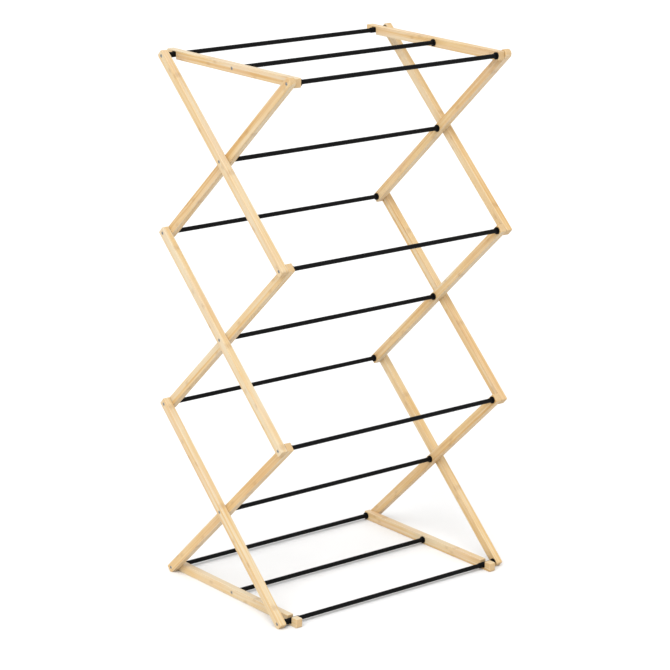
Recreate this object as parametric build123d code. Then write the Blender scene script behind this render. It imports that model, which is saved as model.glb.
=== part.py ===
from build123d import *
import math
import os

os.makedirs("parts", exist_ok=True)

# Folding accordion clothes drying rack, all sizes in millimetres.
# X runs along the rods, +Y points to the rear, Z is up, the floor is z = 0.

# lattice
tier_height = 345.0          # height between two pivots of one tier when open
rack_depth = 367.0           # front pivot line to rear pivot line when open
overall_width = 566.0        # outer face of one side frame to outer face of the other

# slats
slat_width = 18.0
slat_thickness = 14.3
layer_gap = 0.5              # air between two neighbouring slat layers
slat_overhang = 9.0          # wood past the pivot at each end
end_round = 2.5              # corner radius of plain slat ends
top_end_round = 5.0          # corner radius of the upper end of the uppermost outer slats
knuckle_overhang = 12.0      # wood past the pivot at the upper end of the uppermost middle slats
knuckle_round = 8.9          # that end is a nearly full round
edge_easing = 1.2            # rounding along all long slat edges

# shelf slats (top and bottom), with a hook notch at the far end
shelf_overhang = 7.0
shelf_end_round = 2.5
hook_reach = 22.5            # collar centre to the end of the hook
hook_wall_gap = 0.5          # collar to the inner wall of the notch
hook_roof_gap = 0.25
hook_lip_gap = 1.0           # collar to the straight part of the lip
hook_lip_level = 1.5         # on the top slats the lip slopes away from this level above the collar centre
lead_in_reach = 12.4         # collar centre to the mouth of that slope
hook_lip_short = 4.5         # short lip of the top slats, below the collar centre
hook_round = 2.5
mouth_round = 1.0

# rods and their end plugs
rod_diameter = 8.8
rod_wall = 0.8
flange_diameter = 14.0
flange_thickness = 3.0
flange_gap = 0.2             # flange to a shelf slat that turns beside it
stub_length = 16.0
collar_diameter = 10.8
collar_past_slat = 9.0       # collar past the inner face of the shelf slat
plug_edge = 0.6

# screws
screw_diameter = 4.0
screw_running_gap = 0.08     # radial gap between a screw and the slats turning on it
head_diameter = 6.0
head_thickness = 1.9
head_sink = 0.05             # head top below the wood
bore_diameter = 6.6
bore_depth = 2.1
recess_length = 3.4
recess_width = 0.8
recess_depth = 1.1
screw_in_plug = 13.0

half_width = overall_width / 2
floor_to_pivot = slat_width / 2
slat_length = math.hypot(tier_height, rack_depth)
rise_angle = math.degrees(math.atan2(tier_height, rack_depth))
front = -rack_depth / 2
rear = rack_depth / 2
shelf_mid = 0.0
layer_pitch = slat_thickness + layer_gap


def level(tiers):
    return floor_to_pivot + tiers * tier_height


# inboard distances from the outer face of a side frame
outer_in = slat_thickness
middle_out = layer_pitch
middle_in = layer_pitch + slat_thickness
inner_out = 2 * layer_pitch
inner_in = 2 * layer_pitch + slat_thickness


def side_x(side, inboard):
    return side * (half_width - inboard)


def cylinder_x(x_from, x_to, radius):
    length = abs(x_to - x_from)
    middle = (x_from + x_to) / 2
    return Pos(middle, 0, 0) * Rot(0, 90, 0) * Cylinder(radius, length)


def place(shape, y, z):
    return Pos(0, y, z) * shape


def save(name, *solids):
    shape = solids[0] if len(solids) == 1 else Compound(children=list(solids))
    shape.label = name
    export_step(shape, os.path.join("parts", name + ".step"))


# slats -------------------------------------------------------------------------------------------

def screw_hole(y, z, turning):
    # a slat that turns on the screw has a running gap, the others hold the screw tight
    radius = screw_diameter / 2 + (screw_running_gap if turning else 0.0)
    return place(cylinder_x(-half_width - 1, half_width + 1, radius), y, z)


def head_bore(side, inboard, y, z):
    outside = side_x(side, inboard - 1)
    floor = side_x(side, inboard + bore_depth)
    return place(cylinder_x(outside, floor, bore_diameter / 2), y, z)


def ease_faces(blank):
    rims = blank.edges().group_by(Axis.X)
    return fillet(rims[0] + rims[-1], edge_easing)


def slat_blank(far_overhang, far_round):
    blank_length = slat_overhang + slat_length + far_overhang
    profile = Pos(blank_length / 2 - slat_overhang, 0) * Rectangle(blank_length, slat_width)
    corners = profile.vertices().sort_by(Axis.X)
    profile = fillet(corners[:2], end_round)
    corners = profile.vertices().sort_by(Axis.X)
    profile = fillet(corners[-2:], far_round)
    return profile


def lay_in_layer(profile, side, inboard):
    # the profile plane (length, width) becomes (Y, Z), its thickness runs along X
    low = min(side_x(side, inboard), side_x(side, inboard + slat_thickness))
    board = extrude(Plane.YZ * profile, slat_thickness)
    return ease_faces(Pos(low, 0, 0) * board)


def crossing_slat(side, tier, rising):
    uppermost = tier == 2
    if uppermost and rising:
        profile = slat_blank(slat_overhang, top_end_round)
    elif uppermost:
        profile = slat_blank(knuckle_overhang, knuckle_round)
    else:
        profile = slat_blank(slat_overhang, end_round)
    board = lay_in_layer(profile, side, 0.0 if rising else middle_out)
    angle = rise_angle if rising else 180 - rise_angle
    low_y = front if rising else rear
    high_y = rear if rising else front
    board = place(Rot(angle, 0, 0) * board, low_y, level(tier))
    if tier == 0:
        ground = Pos(0, 0, -slat_width) * Box(4 * half_width, 4 * rack_depth, 2 * slat_width)
        board = board - ground
    pivots = [(low_y, level(tier)), (0.0, level(tier + 0.5)), (high_y, level(tier + 1))]
    hooked_rod = {0: pivots[0], 2: pivots[2]}.get(tier)
    for y, z in pivots:
        turning = rising and (y, z) != hooked_rod
        board = board - screw_hole(y, z, turning)
    if rising:
        for y, z in pivots:
            board = board - head_bore(side, 0.0, y, z)
    elif tier == 0:
        board = board - head_bore(side, middle_out, low_y, level(0))
    elif uppermost:
        board = board - head_bore(side, middle_out, high_y, level(3))
    return board


def shelf_profile(top):
    # pivot at the origin, collar of the hooked rod at (rack_depth, 0), notch open towards -V
    radius = collar_diameter / 2
    half = slat_width / 2
    wall = rack_depth - radius - hook_wall_gap
    roof = radius + hook_roof_gap
    lip = rack_depth + radius + hook_lip_gap
    end = rack_depth + hook_reach
    if top:
        # short lip with a sloping lead-in
        mouth = (rack_depth + lead_in_reach, -hook_lip_short)
        lip_points = [(lip, hook_lip_level), mouth, (end, -hook_lip_short)]
    else:
        # the lip is as tall as the slat
        mouth = (lip, -half)
        lip_points = [mouth, (end, -half)]
    outline = [
        (-shelf_overhang, -half),
        (wall, -half),
        (wall, roof),
        (lip, roof),
        *lip_points,
        (end, half),
        (-shelf_overhang, half),
    ]
    face = make_face(Polyline(*outline, close=True))
    rounds = {
        (-shelf_overhang, -half): shelf_end_round,
        (-shelf_overhang, half): shelf_end_round,
        (wall, -half): mouth_round,
        (wall, roof): 1.5,
        (lip, roof): 0.6,
        mouth: mouth_round,
        lip_points[-1]: hook_round,
        (end, half): hook_round,
    }
    for (u, v), radius_here in rounds.items():
        corner = face.vertices().sort_by_distance((u, v, 0))[0]
        face = fillet(corner, radius_here)
    return face


def shelf_slat(side, top):
    board = lay_in_layer(shelf_profile(top), side, inner_out)
    pivot_y = front if top else rear
    pivot_z = level(3) if top else level(0)
    board = place(Rot(0 if top else 180, 0, 0) * board, pivot_y, pivot_z)
    board = board - screw_hole(pivot_y, pivot_z, True)
    board = board - screw_hole(shelf_mid, pivot_z, False)
    board = board - head_bore(side, inner_out, shelf_mid, pivot_z)
    return board


sides = {"left": -1, "right": 1}
tiers = {"lower": 0, "middle": 1, "upper": 2}

for side_name, side in sides.items():
    for tier_name, tier in tiers.items():
        save(f"{side_name}_{tier_name}_rising_slat", crossing_slat(side, tier, True))
        save(f"{side_name}_{tier_name}_falling_slat", crossing_slat(side, tier, False))
    save(f"{side_name}_top_slat", shelf_slat(side, True))
    save(f"{side_name}_bottom_slat", shelf_slat(side, False))


# rods, plugs and screws --------------------------------------------------------------------------

def end_plug(side, seat, collared):
    # seat is the inboard distance of the wood face that the flange bears on
    inner_radius = rod_diameter / 2 - rod_wall
    flange_end = seat + flange_thickness
    flange = cylinder_x(side_x(side, seat), side_x(side, flange_end), flange_diameter / 2)
    rim = flange.edges().filter_by(GeomType.CIRCLE).group_by(Axis.X)
    flange = fillet(rim[0] if side < 0 else rim[-1], plug_edge / 2)
    rim = flange.edges().filter_by(GeomType.CIRCLE).group_by(Axis.X)
    flange = fillet(rim[-1] if side < 0 else rim[0], plug_edge)
    stub_end = flange_end + stub_length
    stub = cylinder_x(side_x(side, flange_end), side_x(side, stub_end), inner_radius)
    plug = flange + stub
    if collared:
        collar_end = inner_in + collar_past_slat
        collar = cylinder_x(side_x(side, flange_end), side_x(side, collar_end), collar_diameter / 2)
        rim = collar.edges().group_by(Axis.X)
        collar = fillet(rim[-1] if side < 0 else rim[0], plug_edge)
        socket = cylinder_x(side_x(side, flange_end), side_x(side, collar_end + 1), rod_diameter / 2)
        plug = flange + (collar - socket) + stub
    pilot = cylinder_x(side_x(side, seat - 1), side_x(side, seat + screw_in_plug), screw_diameter / 2)
    return plug - pilot


def rod_tube(seat):
    end = half_width - seat - flange_thickness
    tube = cylinder_x(-end, end, rod_diameter / 2)
    bore = cylinder_x(-end - 1, end + 1, rod_diameter / 2 - rod_wall)
    return tube - bore


def screw(side, head_face, seat):
    # head_face is the inboard distance of the wood face the head is sunk in
    top = head_face + head_sink
    under = top + head_thickness
    tip = seat + screw_in_plug
    head = cylinder_x(side_x(side, top), side_x(side, under), head_diameter / 2)
    rim = head.edges().group_by(Axis.X)
    head = fillet(rim[0] if side < 0 else rim[-1], 0.4)
    shank = cylinder_x(side_x(side, under), side_x(side, tip), screw_diameter / 2)
    slot = Pos(side_x(side, top), 0, 0) * Box(2 * recess_depth, recess_length, recess_width)
    cross = slot + Rot(90, 0, 0) * slot
    return head + shank - cross


# rod name: y, z, wood face the flange bears on, wood face the screw head is sunk in, collar, body
rods = {
    "top_rear": (rear, level(3), outer_in, 0.0, True, "upper_outer"),
    "top_mid": (shelf_mid, level(3), inner_in, inner_out, False, "top_shelf"),
    "top_front": (front, level(3), inner_in + flange_gap, middle_out, False, "upper_inner"),
    "upper_crossing": (0.0, level(2.5), middle_in, 0.0, False, "upper_inner"),
    "upper_rear": (rear, level(2), middle_in, 0.0, False, "upper_inner"),
    "upper_front": (front, level(2), middle_in, 0.0, False, "middle_inner"),
    "middle_crossing": (0.0, level(1.5), middle_in, 0.0, False, "middle_inner"),
    "lower_rear": (rear, level(1), middle_in, 0.0, False, "middle_inner"),
    "lower_front": (front, level(1), middle_in, 0.0, False, "lower_inner"),
    "lower_crossing": (0.0, level(0.5), middle_in, 0.0, False, "lower_inner"),
    "bottom_rear": (rear, level(0), inner_in + flange_gap, middle_out, False, "lower_inner"),
    "bottom_mid": (shelf_mid, level(0), inner_in, inner_out, False, "bottom_shelf"),
    "bottom_front": (front, level(0), outer_in, 0.0, True, "lower_outer"),
}

screws_by_body = {}
for rod_name, (y, z, seat, head_face, collared, body) in rods.items():
    save(f"rod_{rod_name}", place(rod_tube(seat), y, z))
    plugs = [place(end_plug(side, seat, collared), y, z) for side in sides.values()]
    save(f"plugs_{rod_name}", *plugs)
    pair = [place(screw(side, head_face, seat), y, z) for side in sides.values()]
    screws_by_body.setdefault(body, []).extend(pair)

for body, screws in screws_by_body.items():
    save(f"screws_{body}", *screws)
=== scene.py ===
"""Looks, light and camera for the clothes drying rack, on the CAD pieces of the frame.

Every slat has its own bamboo. The rods are powder coated, the plugs are plastic and the screws are
zinc-plated steel. Lengths are in metres, colours in eight-bit display values.
"""
import math
import random

import bpy
from mathutils import Matrix, Vector


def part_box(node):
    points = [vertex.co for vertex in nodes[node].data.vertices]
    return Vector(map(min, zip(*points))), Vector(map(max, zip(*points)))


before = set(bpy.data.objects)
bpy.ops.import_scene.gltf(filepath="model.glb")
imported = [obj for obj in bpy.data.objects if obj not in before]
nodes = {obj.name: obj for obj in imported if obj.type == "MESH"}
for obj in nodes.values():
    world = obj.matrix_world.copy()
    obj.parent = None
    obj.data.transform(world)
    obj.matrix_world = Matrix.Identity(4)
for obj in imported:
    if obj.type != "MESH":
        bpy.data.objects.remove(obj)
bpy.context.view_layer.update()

MM = 0.001


# measures read from the CAD frame -----------------------------------------------------------------

def centre(node):
    low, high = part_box(node)
    return (Vector(low) + Vector(high)) / 2


rod_at = {name.removeprefix("rod_"): centre(name) for name in nodes if name.startswith("rod_")}
rise = rod_at["lower_rear"] - rod_at["lower_crossing"]
rise_angle = math.atan2(rise.z, rise.y)
shelf_low, shelf_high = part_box("left_top_slat")
slat_width = shelf_high[2] - shelf_low[2]
slat_thickness = shelf_high[0] - shelf_low[0]


# node tree helpers --------------------------------------------------------------------------------

def srgb(red, green, blue):
    """Linear colour, with alpha, from eight-bit display values."""
    def linear(value):
        value /= 255
        return value / 12.92 if value <= 0.04045 else ((value + 0.055) / 1.055) ** 2.4
    return (linear(red), linear(green), linear(blue), 1.0)


class Tree:
    """A material's node tree with short calls for the nodes used here."""

    def __init__(self, name):
        self.material = bpy.data.materials.new(name)
        self.material.use_nodes = True
        self.nodes = self.material.node_tree.nodes
        self.links = self.material.node_tree.links
        self.shader = self.nodes["Principled BSDF"]

    def node(self, kind, settings=None, **inputs):
        made = self.nodes.new("ShaderNode" + kind)
        for key, value in (settings or {}).items():
            setattr(made, key, value)
        for key, value in inputs.items():
            self.plug(made, key, value)
        return made

    def plug(self, node, key, value):
        """Link or set one input. key is its name with _ for a space, or i and its number."""
        place = int(key[1:]) if key[1:].isdigit() else key.replace("_", " ")
        socket = node.inputs[place]
        if isinstance(value, bpy.types.NodeSocket):
            self.links.new(value, socket)
        else:
            socket.default_value = value

    def math(self, operation, a, b=0.0, c=0.0):
        return self.node("Math", {"operation": operation}, i0=a, i1=b, i2=c).outputs[0]

    def vector_math(self, operation, *values):
        inputs = {f"i{index}": value for index, value in enumerate(values)}
        return self.node("VectorMath", {"operation": operation}, **inputs).outputs[0]

    def turn_about_x(self, vector, angle):
        made = self.node("VectorRotate", {"rotation_type": "X_AXIS"}, Vector=vector, Angle=angle)
        return made.outputs[0]

    def smooth(self, value, low, high, to_low=0.0, to_high=1.0):
        made = self.node("MapRange", {"interpolation_type": "SMOOTHSTEP"},
                         i0=value, i1=low, i2=high, i3=to_low, i4=to_high)
        return made.outputs[0]

    def noise(self, vector, scale, detail, rough=0.55):
        made = self.node("TexNoise", None, Vector=vector, Scale=scale, Detail=detail,
                         Roughness=rough)
        return made.outputs[0]

    def streaks(self, vector, scales, detail, rough=0.55, shift=(0.0, 0.0, 0.0)):
        """Noise drawn out by its own scale, per metre, on each axis."""
        drawn = self.node("Mapping", None, Vector=vector, Scale=scales, Location=shift)
        return self.noise(drawn.outputs[0], 1.0, detail, rough)

    def mix(self, amount, a, b):
        return self.node("Mix", {"data_type": "RGBA"}, i0=amount, i6=a, i7=b).outputs[2]

    def ramp(self, value, stops):
        made = self.node("ValToRGB", None, Fac=value)
        elements = made.color_ramp.elements
        while len(elements) < len(stops):
            elements.new(0.5)
        for element, (place, colour) in zip(elements, stops):
            element.position = place
            element.color = colour
        return made.outputs[0]

    def bump(self, height, strength, distance):
        made = self.node("Bump", None, Height=height, Strength=strength, Distance=distance)
        return made.outputs[0]

    def finish(self, **sockets):
        for key, value in sockets.items():
            self.plug(self.shader, key, value)
        return self.material


# bamboo slats -------------------------------------------------------------------------------------

STRIP = 6.0 * MM             # width of one glued bamboo strip
STRIP_CONTRAST = 0.16        # tone between the palest and the deepest strip
JOINT_SPACING = 0.23         # distance between two growth joints along a strip
JOINT_SCATTER = 7.3          # spacings by which joints differ from strip to strip
PORES_PER_METRE = 1700.0
WAVINESS = 4 * MM            # how far the fibres stray sideways
EDGE_OUTER = 0.3 * MM        # the eased edge is fully worn this close to the face beside it
EDGE_INNER = 1.6 * MM        # and untouched this far in
GRAIN_RELIEF = 0.15 * MM

# noise scales per metre: through the thickness, along the slat, across its width
WAVES = (3, 5, 3)
FIBRES = (850, 9, 850)
STREAKS = (330, 3.2, 330)
CLOUDS = (40, 9, 40)
BLUSHES = (60, 7, 60)
BRUSH_HAIRS = (900, 120, 900)
BRUSH_WOBBLE = (420, 60, 420)
WEAR = (90, 30, 90)

PALE = srgb(201, 185, 155)
HONEY = srgb(200, 171, 123)
AMBER = srgb(184, 144, 86)
ROSE = srgb(198, 170, 140)
BROWN = srgb(134, 97, 62)
END_GRAIN = srgb(192, 165, 124)
FIBRE_COLOUR = 0.45          # how strongly each feature colours the wood
SEAM_COLOUR = 0.12
JOINT_COLOUR = 0.34


def bamboo(name, angle, middle, tone_and_shade_depth, narrow_painted_shading, rng):
    """One slat's bamboo.

    angle is the slat's slope in the YZ plane and middle a point on its axis. The next argument says
    how deep the colour is, from 0 for the palest slats up: the wood's own tone plus painted shade,
    deepest on the falling slats and the right frame. The one after adds painted light (below 0) and
    painted shade (above 0) on the narrow faces.
    """
    t = Tree(name)
    coords = t.node("TexCoord")
    moved = t.vector_math("SUBTRACT", coords.outputs["Object"], middle)
    local = t.turn_about_x(moved, -angle)
    facing = t.turn_about_x(coords.outputs["Normal"], -angle)
    thick, along, across = t.node("SeparateXYZ", None, Vector=local).outputs
    _, facing_end, facing_narrow = t.node("SeparateXYZ", None, Vector=facing).outputs
    seed = tuple(rng.uniform(-40, 40) for _ in range(3))
    seeded = t.vector_math("ADD", local, seed)

    # fibres run along the slat, with a slow waviness
    wave = t.streaks(seeded, WAVES, 2.0)
    sideways = t.node("CombineXYZ", None, X=wave, Z=wave).outputs[0]
    wavy = t.vector_math("MULTIPLY_ADD", sideways, (WAVINESS, 0, WAVINESS), seeded)
    fibre = t.streaks(wavy, FIBRES, 4.0, 0.65)
    streak = t.streaks(wavy, STREAKS, 3.0, 0.5)
    cloud = t.streaks(seeded, CLOUDS, 2.0, 0.5)
    blush = t.streaks(seeded, BLUSHES, 2.0, 0.5, shift=(3.0, 5.0, 7.0))

    # glued strips, each a little lighter or darker
    strip_coord = t.math("MULTIPLY_ADD", across, 1 / STRIP, rng.uniform(0.2, 0.8))
    strip_index = t.math("FLOOR", strip_coord)
    strip_key = t.math("ADD", strip_index, rng.uniform(0, 900))
    strip_tone = t.node("TexWhiteNoise", {"noise_dimensions": "1D"}, W=strip_key).outputs[0]
    from_middle = t.math("ABSOLUTE", t.math("SUBTRACT", t.math("FRACT", strip_coord), 0.5))
    seam = t.smooth(from_middle, 0.475, 0.5)

    # growth joints: short darker brush marks across each strip, at its own places on every strip
    scatter = t.math("MULTIPLY", strip_tone, JOINT_SCATTER)
    ladder = t.math("MULTIPLY_ADD", along, 1 / JOINT_SPACING, scatter)
    wobble = t.math("MULTIPLY_ADD", t.streaks(seeded, BRUSH_WOBBLE, 2.0), 0.03, -0.015)
    from_joint = t.math("SUBTRACT", t.math("FRACT", ladder), 0.5)
    from_joint = t.math("ABSOLUTE", t.math("ADD", from_joint, wobble))
    mark = t.smooth(from_joint, 0.003, 0.040, 1.0, 0.0)
    hairs = t.smooth(t.streaks(wavy, BRUSH_HAIRS, 2.0), 0.3, 0.7, 0.35, 1.0)
    mark = t.math("MULTIPLY", mark, hairs)

    tone = t.math("MULTIPLY_ADD", streak, 0.75, t.math("MULTIPLY", cloud, 0.35))
    # painted shade: the slat's depth from the table darkens the falling slats and the right frame,
    # beside a small random spread of the wood's own tone
    tone_with_painted_shade = tone_and_shade_depth - 0.28 + rng.uniform(-0.03, 0.03)
    tone = t.math("ADD", tone, t.math("MULTIPLY_ADD", strip_tone, STRIP_CONTRAST, tone_with_painted_shade))
    # painted light and shade on the narrow faces: the offset lightens them below 0 and darkens them
    # above 0
    narrow_face_shading_mask = t.smooth(t.math("ABSOLUTE", facing_narrow), 0.6, 0.8)
    tone = t.math("MULTIPLY_ADD", narrow_face_shading_mask, narrow_painted_shading, tone)
    colour = t.ramp(tone, [(0.34, PALE), (0.50, HONEY), (0.70, AMBER)])
    rosiness = rng.uniform(0.15, 0.5)
    colour = t.mix(t.smooth(blush, 0.40, 0.70, 0.0, rosiness), colour, ROSE)
    colour = t.mix(t.smooth(fibre, 0.48, 0.70, 0.0, FIBRE_COLOUR), colour, AMBER)
    colour = t.mix(t.math("MULTIPLY", seam, SEAM_COLOUR), colour, BROWN)
    colour = t.mix(t.math("MULTIPLY", mark, JOINT_COLOUR), colour, BROWN)

    # cut ends show dark pores instead of long fibres
    end = t.smooth(t.math("ABSOLUTE", facing_end), 0.70, 0.92)
    pores = t.node("TexVoronoi", {"feature": "F1"}, Vector=seeded, Scale=PORES_PER_METRE)
    end_colour = t.mix(t.smooth(pores.outputs[0], 0.15, 0.42, 0.55, 0.0), END_GRAIN, BROWN)
    end_colour = t.mix(t.math("MULTIPLY", strip_tone, 0.25), end_colour, AMBER)
    colour = t.mix(end, colour, end_colour)

    # eased edges: sanded through, a touch lighter, with slight handling wear
    def near_edge(distance, size):
        half = size / 2
        return t.smooth(t.math("ABSOLUTE", distance), half - EDGE_INNER, half - EDGE_OUTER)

    rim = t.math("MULTIPLY", near_edge(thick, slat_thickness), near_edge(across, slat_width))
    handled = t.smooth(t.streaks(seeded, WEAR, 3.0), 0.35, 0.75, 0.05, 0.65)
    worn = t.math("MULTIPLY", rim, handled)
    colour = t.mix(worn, colour, PALE)

    rough = t.math("MULTIPLY_ADD", streak, 0.16, 0.40)
    rough = t.math("ADD", rough, t.math("MULTIPLY", end, 0.22))
    rough = t.math("ADD", rough, t.math("MULTIPLY", worn, 0.12))
    relief = t.math("ADD", t.math("MULTIPLY", fibre, 0.6), t.math("MULTIPLY", streak, 0.4))
    relief = t.math("SUBTRACT", relief, t.math("MULTIPLY", seam, 0.35))
    relief = t.math("SUBTRACT", relief, t.math("MULTIPLY", mark, 0.5))
    shaped = t.bump(relief, 0.35, GRAIN_RELIEF)
    return t.finish(Base_Color=colour, Roughness=rough, Normal=shaped)


# rods, plugs and screws ---------------------------------------------------------------------------

COAT_GLOSS = 0.08            # specular level of the black surfaces
COAT_RELIEF = 0.05 * MM
COAT_PATCHES = (14, 160, 160)
COAT_RUBS = (60, 420, 420)
RUBBED = srgb(60, 60, 62)

ZINC_LIGHT = srgb(168, 167, 165)
ZINC = srgb(142, 141, 138)
ZINC_STAINED = srgb(120, 118, 113)
SCRATCHED = srgb(96, 94, 90)
SCRATCHES = (600, 2600, 900)
SCRATCH_RELIEF = 0.03 * MM


def powder_coat(name, base, speck, scale, roughness, strength):
    """Black surface: fine orange-peel relief, a few duller patches, dust-grey rubbed spots."""
    t = Tree(name)
    place = t.node("TexCoord").outputs["Object"]
    grain = t.noise(place, scale, 2.0, 0.6)
    patch = t.streaks(place, COAT_PATCHES, 3.0, 0.55)
    rub = t.streaks(place, COAT_RUBS, 4.0, 0.65)
    colour = t.mix(t.smooth(patch, 0.35, 0.75, 0.0, 0.7), base, speck)
    colour = t.mix(t.smooth(rub, 0.62, 0.80, 0.0, 0.35), colour, RUBBED)
    rough = t.math("MULTIPLY_ADD", patch, 0.18, roughness)
    rough = t.math("MULTIPLY_ADD", grain, 0.08, rough)
    return t.finish(Base_Color=colour, Roughness=rough, Specular_IOR_Level=COAT_GLOSS,
                    Normal=t.bump(grain, strength, COAT_RELIEF))


def steel(name):
    """Zinc-plated screw steel with stains and small scratches."""
    t = Tree(name)
    place = t.node("TexCoord").outputs["Object"]
    scratch = t.streaks(place, SCRATCHES, 3.0, 0.6)
    stain = t.noise(place, 420.0, 3.0)
    colour = t.ramp(stain, [(0.3, ZINC), (0.55, ZINC_LIGHT), (0.8, ZINC_STAINED)])
    colour = t.mix(t.smooth(scratch, 0.55, 0.75, 0.0, 0.4), colour, SCRATCHED)
    rough = t.math("MULTIPLY_ADD", scratch, 0.22, 0.24)
    return t.finish(Base_Color=colour, Metallic=1.0, Roughness=rough,
                    Normal=t.bump(scratch, 0.25, SCRATCH_RELIEF))


# each piece gets its material ---------------------------------------------------------------------

def paint(node, material):
    for slot in nodes[node].material_slots:
        slot.material = material


# colour depth of the broad faces (the wood's tone plus painted shade that deepens the falling slats
# and the right frame) and the painted light (below 0) or painted shade (above 0) that the narrow
# faces add, by side frame and kind of slat
SLAT_TONE_AND_SHADE = {
    ("left", "rising"): (0.06, 0.00),
    ("left", "falling"): (0.17, -0.04),
    ("right", "rising"): (0.15, 0.02),
    ("right", "falling"): (0.24, -0.12),
    ("left", "shelf"): (0.13, -0.16),
    ("right", "shelf"): (0.16, -0.04),
}

# node, slope, a rod on its axis, kind
slats = []
for side in ("left", "right"):
    for tier in ("lower", "middle", "upper"):
        crossing = f"{tier}_crossing"
        slats.append((f"{side}_{tier}_rising_slat", rise_angle, crossing, (side, "rising")))
        slats.append((f"{side}_{tier}_falling_slat", math.pi - rise_angle, crossing,
                      (side, "falling")))
    slats.append((f"{side}_top_slat", 0.0, "top_mid", (side, "shelf")))
    slats.append((f"{side}_bottom_slat", math.pi, "bottom_mid", (side, "shelf")))

FIRST_SEED = 100
for seed, (node, angle, rod, kind) in enumerate(slats, FIRST_SEED):
    axis_point = (centre(node).x, rod_at[rod].y, rod_at[rod].z)
    tone_and_shade_depth, narrow_painted_shading = SLAT_TONE_AND_SHADE[kind]
    wood = bamboo("bamboo_" + node, angle, axis_point, tone_and_shade_depth, narrow_painted_shading, random.Random(seed))
    paint(node, wood)

rod_black = powder_coat("rod_powder_coat", srgb(5, 5, 6), srgb(11, 11, 12), 1400.0, 0.36, 0.35)
plug_black = powder_coat("plug_plastic", srgb(5, 5, 5), srgb(11, 11, 12), 900.0, 0.46, 0.5)
screw_steel = steel("screw_steel")
for node in nodes:
    if node.startswith("rod_"):
        paint(node, rod_black)
    elif node.startswith("plugs_"):
        paint(node, plug_black)
    elif node.startswith("screws_"):
        paint(node, screw_steel)


# floor, light and camera --------------------------------------------------------------------------

FLOOR_REACH = 30.0           # half the floor's width
FLOOR_DROP = 0.2 * MM        # keeps the floor clear of the feet
PAPER_DULL = srgb(221, 221, 221)
PAPER_BRIGHT = srgb(225, 225, 225)

WORLD_STRENGTH = 1.0
SUN_FROM = (-0.55, -0.35, 0.76)
SUN_STRENGTH = 2.4
SUN_SOFTNESS = 50            # degrees

CAMERA_AT = (-3.157, -3.899, 1.918)
CAMERA_YAW = 38.99           # degrees
CAMERA_PITCH = 15.9
CAMERA_ROLL = 0.65
LENS_MM = 142.9
SENSOR_MM = 36.0


def floor():
    low, high = -FLOOR_REACH, FLOOR_REACH
    corners = [(low, low, 0), (high, low, 0), (high, high, 0), (low, high, 0)]
    mesh = bpy.data.meshes.new("floor")
    mesh.from_pydata(corners, [], [(0, 1, 2, 3)])
    plane = bpy.data.objects.new("floor", mesh)
    bpy.context.collection.objects.link(plane)
    plane.location.z = -FLOOR_DROP
    t = Tree("floor_paper")
    soft = t.noise(t.node("TexCoord").outputs["Object"], 3.0, 2.0)
    colour = t.mix(t.smooth(soft, 0.3, 0.7), PAPER_DULL, PAPER_BRIGHT)
    mesh.materials.append(t.finish(Base_Color=colour, Roughness=0.85))


def sun(direction, strength, softness):
    light = bpy.data.lights.new("key", "SUN")
    light.energy = strength
    light.angle = math.radians(softness)
    lamp = bpy.data.objects.new("key", light)
    lamp.rotation_euler = Vector(direction).to_track_quat("Z", "Y").to_euler()
    bpy.context.collection.objects.link(lamp)


floor()
world = bpy.data.worlds.new("studio")
world.use_nodes = True
background = world.node_tree.nodes["Background"]
background.inputs["Color"].default_value = (1, 1, 1, 1)
background.inputs["Strength"].default_value = WORLD_STRENGTH
bpy.context.scene.world = world
sun(SUN_FROM, SUN_STRENGTH, SUN_SOFTNESS)

bpy.context.scene.view_settings.view_transform = "Standard"

camera = bpy.data.objects.new("camera", bpy.data.cameras.new("camera"))
camera.data.lens = LENS_MM
camera.data.sensor_width = SENSOR_MM
yaw, pitch, roll = map(math.radians, (CAMERA_YAW, CAMERA_PITCH, CAMERA_ROLL))
level = math.cos(pitch)
forward = Vector((math.sin(yaw) * level, math.cos(yaw) * level, -math.sin(pitch)))
turn = forward.to_track_quat("-Z", "Y").to_matrix() @ Matrix.Rotation(roll, 3, "Z")
camera.matrix_world = Matrix.Translation(CAMERA_AT) @ turn.to_4x4()
bpy.context.collection.objects.link(camera)
bpy.context.scene.camera = camera
